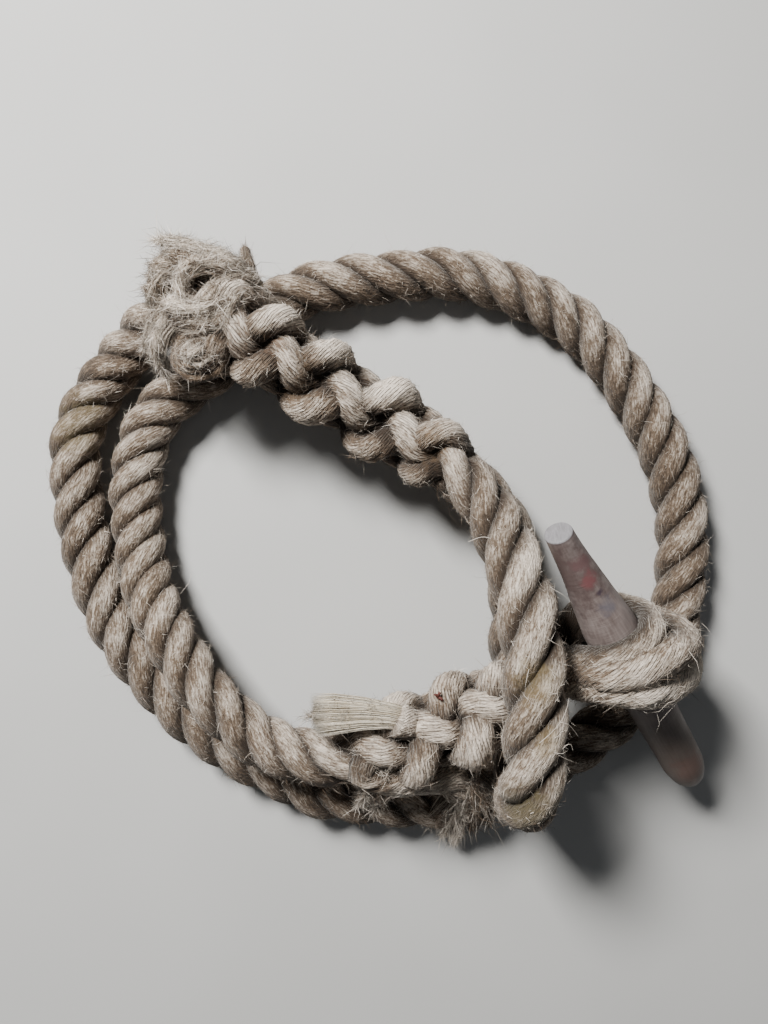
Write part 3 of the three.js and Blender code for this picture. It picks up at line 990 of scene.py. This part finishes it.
def rope_fibre_group():
    """Colour and relief of spun fibre, with painted shade. Lay counts yarns round the strand
    and centimetres along it; Crown is 1 on the outside of the rope and less down in the
    grooves, which are painted darker towards Deep as shade while the crowns are painted
    paler as light; Tint makes a strand or a fibre paler or browner."""
    tree, given, wanted = new_group(
        "rope fibre",
        [("Lay", "Vector"), ("Place", "Vector"), ("Crown", "Float"), ("Tint", "Float"),
         ("Pale", "Color"), ("Middle", "Color"), ("Deep", "Color"), ("Yarns", "Float")],
        [("Colour", "Color"), ("Height", "Float")])
    parts = tree.nodes.new("ShaderNodeSeparateXYZ")
    tree.links.new(given["Lay"], parts.inputs[0])
    across, along = parts.outputs[0], parts.outputs[1]

    # The fibres run at an angle to the yarn that they are spun into.
    fibre_across = maths(tree, "SUBTRACT", maths(tree, "MULTIPLY", across, 4.4),
                         maths(tree, "MULTIPLY", along, 6.5))
    fibre_along = maths(tree, "MULTIPLY_ADD", across, 0.2, maths(tree, "MULTIPLY", along, 1.5))
    lay = tree.nodes.new("ShaderNodeCombineXYZ")
    for socket, value in zip(lay.inputs, (fibre_across, fibre_along,
                                          maths(tree, "FLOOR", across))):
        feed(tree, socket, value)
    streaks = noise(tree, lay.outputs[0], 1.0, 3.0, 0.65)
    flecks = noise(tree, vector_maths(tree, "MULTIPLY", lay.outputs[0], (0.5, 1.6, 1.0)),
                   1.0, 2.0, 0.6)
    half_yarns = maths(tree, "FRACT", maths(tree, "MULTIPLY", across, 2.0))
    from_middle = maths(tree, "ABSOLUTE", maths(tree, "SUBTRACT", half_yarns, 0.5))
    groove = maths(tree, "MULTIPLY", span(tree, from_middle, 0.26, 0.5), given["Yarns"])
    broken = span(tree, noise(tree, given["Place"], 260.0, 2.0), 0.35, 0.6)
    groove = maths(tree, "MULTIPLY", groove, broken)

    broad = noise(tree, given["Place"], 32.0, 2.0)
    blotches = noise(tree, given["Place"], 130.0, 3.0, 0.6)
    specks = noise(tree, given["Place"], 1100.0, 2.0, 0.7)
    value = maths(tree, "MULTIPLY_ADD", streaks, 2.1, -2.93)
    # painted light and shade: the higher the crown, the paler
    value = maths(tree, "MULTIPLY_ADD", given["Crown"], 2.0, value)
    value = maths(tree, "MULTIPLY_ADD", given["Tint"], 0.42, value)
    for pattern, low, high, most in (
            (flecks, 0.36, 0.64, 0.25), (broad, 0.3, 0.7, 0.16), (blotches, 0.3, 0.7, 0.13),
            (specks, 0.3, 0.7, 0.17)):
        value = maths(tree, "ADD", value, span(tree, pattern, low, high, -most, most))
    # painted shade in the grooves between yarns
    value = maths(tree, "MULTIPLY_ADD", groove, -0.3, value)
    paleness = maths(tree, "MULTIPLY", value, 1.0, clamp=True)
    body = blended(tree, paleness, given["Middle"], given["Pale"])
    # low values go towards Deep: dark flecks, and painted shade where the crown is low
    body = blended(tree, span(tree, value, 0.1, -0.8, 0.0, 0.85), body, given["Deep"])
    # painted shade between the strands: towards Deep where the crown is low
    clear_of_painted_shade = span(tree, given["Crown"], 0.70, 1.06)
    shaded = blended(tree, clear_of_painted_shade, given["Deep"], body)
    # painted shade in the grooves between yarns
    painted_yarn_groove_shade = maths(tree, "MULTIPLY", groove, 0.45)
    tree.links.new(blended(tree, painted_yarn_groove_shade, shaded, given["Deep"]), wanted["Colour"])
    height = maths(tree, "MULTIPLY_ADD", groove, -1.0, maths(tree, "MULTIPLY", streaks, 1.1))
    height = maths(tree, "MULTIPLY_ADD", flecks, 0.7, height)
    height = maths(tree, "MULTIPLY_ADD", specks, 0.5, height)
    tree.links.new(height, wanted["Height"])
    return tree


def stain_group():
    """A soft-edged spot round a centre, with an uneven rim."""
    tree, given, wanted = new_group(
        "stain spot", [("Place", "Vector"), ("Centre", "Vector"), ("Radius", "Float")],
        [("Mask", "Float")])
    distance = vector_maths(tree, "DISTANCE", given["Place"], given["Centre"], output=1)
    ragged = noise(tree, given["Place"], 260.0, 3.0)
    reach = maths(tree, "DIVIDE", distance, given["Radius"])
    reach = maths(tree, "ADD", reach, span(tree, ragged, 0.3, 0.7, -0.24, 0.24))
    tree.links.new(span(tree, reach, 1.0, 0.25), wanted["Mask"])
    return tree


def new_material(name, roughness):
    material = bpy.data.materials.new(name)
    material.use_nodes = True
    tree = material.node_tree
    shader = tree.nodes["Principled BSDF"]
    shader.inputs["Roughness"].default_value = roughness
    coordinates = tree.nodes.new("ShaderNodeTexCoord")
    return material, tree, shader, coordinates.outputs["Object"]


def add_stains(tree, stain, place, colour, spots):
    """Spots as (centre and radius in mm, strength, colour), one over the other."""
    for centre, radius, strength, tone in spots:
        mask = place_group(tree, stain, Place=place, Centre=[c * MM for c in centre],
                           Radius=radius * MM)["Mask"]
        colour = blended(tree, maths(tree, "MULTIPLY", mask, strength), colour, (*tone, 1))
    return colour


def add_relief(tree, shader, height, depth):
    bump = tree.nodes.new("ShaderNodeBump")
    bump.inputs["Strength"].default_value = 1.0
    bump.inputs["Distance"].default_value = depth * MM
    tree.links.new(height, bump.inputs["Height"])
    tree.links.new(bump.outputs["Normal"], shader.inputs["Normal"])


ROPE_STAINS = [
    ((61, -47, 90), 13, 0.38, (0.17, 0.125, 0.05)),
    ((60, -101, 80), 19, 0.62, (0.105, 0.086, 0.042)),
    ((66, -70, 90), 8, 0.35, (0.19, 0.14, 0.06)),
    ((-140, 59, 22), 20, 0.35, (0.15, 0.12, 0.055)),
    ((-36, 78, 50), 15, 0.3, (0.14, 0.085, 0.04)),
    ((-74, 96, 46), 16, 0.45, (0.13, 0.085, 0.045)),
    ((-47, 92, 52), 11, 0.6, (0.10, 0.055, 0.03)),
    ((24, 48, 50), 12, 0.4, (0.13, 0.08, 0.04)),
]


def fibre_material(name, fibre, stain, pale, middle, deep, relief, sheen):
    material, tree, shader, place = new_material(name, 0.85)
    lay = tree.nodes.new("ShaderNodeUVMap")
    lay.uv_map = "lay"
    # Deep is the darkest fleck colour and the colour of the painted shade in the grooves
    made = place_group(
        tree, fibre, Lay=lay.outputs[0], Place=place, Crown=attribute(tree, "crown"),
        Tint=attribute(tree, "tint"), Pale=(*pale, 1), Middle=(*middle, 1), Deep=(*deep, 1),
        Yarns=maths(tree, "MULTIPLY_ADD", attribute(tree, "worked"), 0.5, 0.34))
    colour = add_stains(tree, stain, place, made["Colour"], ROPE_STAINS)
    tree.links.new(colour, shader.inputs["Base Color"])
    add_relief(tree, shader, made["Height"], relief)
    shader.inputs["Sheen Weight"].default_value = sheen
    shader.inputs["Sheen Roughness"].default_value = 0.5
    shader.inputs["Sheen Tint"].default_value = (0.9, 0.87, 0.82, 1)
    shader.inputs["Specular IOR Level"].default_value = 0.25
    return material


def hair_material(name, brown, pale, deep):
    material, tree, shader, place = new_material(name, 0.6)
    value = maths(tree, "MULTIPLY_ADD", attribute(tree, "tint"), 0.34, 0.31)
    value = maths(tree, "ADD", value, span(tree, noise(tree, place, 60.0), 0.3, 0.7, -0.2, 0.2),
                  clamp=True)
    colour = blended(tree, value, (*brown, 1), (*pale, 1))
    # painted shade: hairs standing down in the grooves go towards deep
    clear_of_painted_shade = span(tree, attribute(tree, "crown"), 0.64, 0.99)
    tree.links.new(blended(tree, clear_of_painted_shade, (*deep, 1), colour), shader.inputs["Base Color"])
    shader.inputs["Specular IOR Level"].default_value = 0.4
    return material


TOGGLE_SPOTS = [
    # this spot darkens the thin end all round
    ((77, -8, 75), 24, 0.85, (0.075, 0.049, 0.046)),
    ((81, -1.5, 80.5), 7, 0.45, (0.13, 0.06, 0.062)),
    ((84.6, -8.8, 79), 5.2, 0.7, (0.16, 0.052, 0.055)),
    ((89.5, -13.4, 78), 2.4, 0.85, (0.04, 0.026, 0.04)),
    ((93.4, -19.2, 76.5), 6, 0.55, (0.105, 0.105, 0.13)),
    ((106, -18, 70), 12, 0.35, (0.17, 0.15, 0.15)),
    ((141, -97, 40), 12, 0.38, (0.13, 0.058, 0.045)),
    ((146, -106, 30), 8, 0.3, (0.32, 0.27, 0.25)),
]


def wood_material(stain):
    """Handled grey wood: fine grain along the stick and faint scratches across it."""
    material, tree, shader, place = new_material("toggle_wood", 0.55)
    turned = tree.nodes.new("ShaderNodeMapping")
    turned.vector_type = "TEXTURE"
    thin_end = [float(c) * MM for c in THIN_END]
    turned.inputs["Location"].default_value = thin_end
    turned.inputs["Rotation"].default_value = (
        Vector(TOGGLE_ALONG).to_track_quat("X", "Z").to_euler())
    tree.links.new(place, turned.inputs["Vector"])
    stick = turned.outputs[0]
    grain = noise(tree, vector_maths(tree, "MULTIPLY", stick, (45, 900, 900)), 1.0, 4.0, 0.6)
    scratches = noise(tree, vector_maths(tree, "MULTIPLY", stick, (1700, 130, 130)), 1.0, 2.0)
    patches = noise(tree, place, 55.0, 3.0, 0.6)
    value = maths(tree, "MULTIPLY_ADD", grain, 0.9, -0.1)
    value = maths(tree, "ADD", value, span(tree, patches, 0.3, 0.7, -0.17, 0.17))
    value = maths(tree, "ADD", value, span(tree, scratches, 0.55, 0.8, 0.0, 0.2), clamp=True)
    colour = blended(tree, value, (0.115, 0.086, 0.078, 1), (0.31, 0.265, 0.25, 1))
    parts = tree.nodes.new("ShaderNodeSeparateXYZ")
    tree.links.new(stick, parts.inputs[0])
    # the round end is darkened: its own browner wood and painted shade, where it lies low near
    # the floor
    far_end = span(tree, parts.outputs[0], 0.080, 0.125, 0.0, 0.72)
    colour = blended(tree, far_end, colour, (0.085, 0.064, 0.050, 1))
    colour = add_stains(tree, stain, place, colour, TOGGLE_SPOTS)
    from_saw = vector_maths(tree, "SUBTRACT", place, thin_end)
    depth = vector_maths(tree, "DOT_PRODUCT", from_saw, [float(c) for c in SAWN_FACING],
                         output=1)
    sawn = span(tree, depth, -0.0006, -0.00035)
    rim = span(tree, depth, -0.0016, -0.0007)
    saw_marks = noise(tree, vector_maths(tree, "MULTIPLY", place, (1500, 300, 300)), 1.0, 3.0)
    fresh = blended(tree, saw_marks, (0.10, 0.096, 0.10, 1), (0.27, 0.262, 0.275, 1))
    colour = blended(tree, maths(tree, "MULTIPLY", rim, 0.55), colour, (0.07, 0.05, 0.05, 1))
    colour = blended(tree, sawn, colour, fresh)
    tree.links.new(colour, shader.inputs["Base Color"])
    tree.links.new(span(tree, patches, 0.3, 0.7, 0.48, 0.66), shader.inputs["Roughness"])
    height = maths(tree, "MULTIPLY_ADD", grain, 0.7, scratches)
    add_relief(tree, shader, height, 0.12)
    return material


def floor_material():
    material, tree, shader, place = new_material("pale floor", 0.9)
    tone = span(tree, noise(tree, place, 6.0), 0.3, 0.7)
    tree.links.new(blended(tree, tone, (0.47, 0.47, 0.46, 1), (0.50, 0.50, 0.49, 1)),
                   shader.inputs["Base Color"])
    return material


# ---------------------------------------------------------------- putting it together

TOGGLE_SPLICE_TAILS = [
    [(16, -76, 50), (8, -71, 54)],
    [(33, -103, 35), (36, -110, 30)],
    [(4, -101, 40), (0, -107, 36)],
]
EYE_SPLICE_TAILS = [
    [(-64, 106, 41), (-69, 112, 39)],
    [(-68, 97, 38), (-74, 92, 40), (-79, 88, 41)],
    [(-57, 110, 42), (-57, 117, 43)],
]
# Where the hairs stand, how many there are, their length and thickness, how far they stray from
# the lay and stand off the skin, and whether they are bent.
HAIRS = [
    ("tuft_wool", woolly_skins, 13000, 5.5, 0.11, 0.55, 0.25, True),
    ("tuft_down", woolly_skins, 20000, 3.2, 0.12, 0.9, 0.25, False),
    ("long_hairs", strand_skins, 14000, 4.2, 0.06, 0.8, 0.3, True),
    ("short_hairs_1", strand_skins, 30000, 2.6, 0.10, 0.85, 0.16, False),
    ("short_hairs_2", strand_skins, 30000, 2.6, 0.10, 0.85, 0.16, False),
]
FLOOR_SIZE = 12              # in metres

add_camera()
fibre = rope_fibre_group()
stain = stain_group()
jute = fibre_material("jute", fibre, stain, (0.69, 0.605, 0.51), (0.15, 0.106, 0.072),
                      (0.024, 0.015, 0.009), 0.65, 0.2)
jute_ends = fibre_material("jute_ends", fibre, stain, (0.71, 0.625, 0.52),
                           (0.19, 0.132, 0.086), (0.03, 0.018, 0.011), 0.3, 0.2)
cut_jute = fibre_material("cut_jute", fibre, stain, (0.86, 0.79, 0.66),
                          (0.55, 0.46, 0.33), (0.12, 0.08, 0.04), 0.1, 0.2)
hair = hair_material("jute_hair", (0.16, 0.112, 0.074), (0.82, 0.75, 0.66), (0.03, 0.018, 0.01))

rope = add_rope(jute)
riding = [
    add_splice(TOGGLE_SPLICE, jute, [(78, -54, 45), (70, -57, 46)], TOGGLE_SPLICE_TAILS),
    add_splice(EYE_SPLICE, jute, [(52, 24, 20), (42, 33, 27)], EYE_SPLICE_TAILS),
    add_toggle_eye(jute),
    add_tuft(jute_ends),
    add_hanging_frays(jute_ends),
    add_brush(cut_jute),
    *[add_hairs(*kind, hair) for kind in HAIRS],
    add_loose_threads(160, hair),
    add_scrap(),
]
add_toggle(wood_material(stain))

# ---------------------------------------------------------------- the surface it lies on

deselect_everything()
bpy.ops.mesh.primitive_plane_add(size=FLOOR_SIZE, location=(0, 0, 0))
floor = bpy.context.object
floor.name = "floor"
floor.data.materials.append(floor_material())
add_lights()
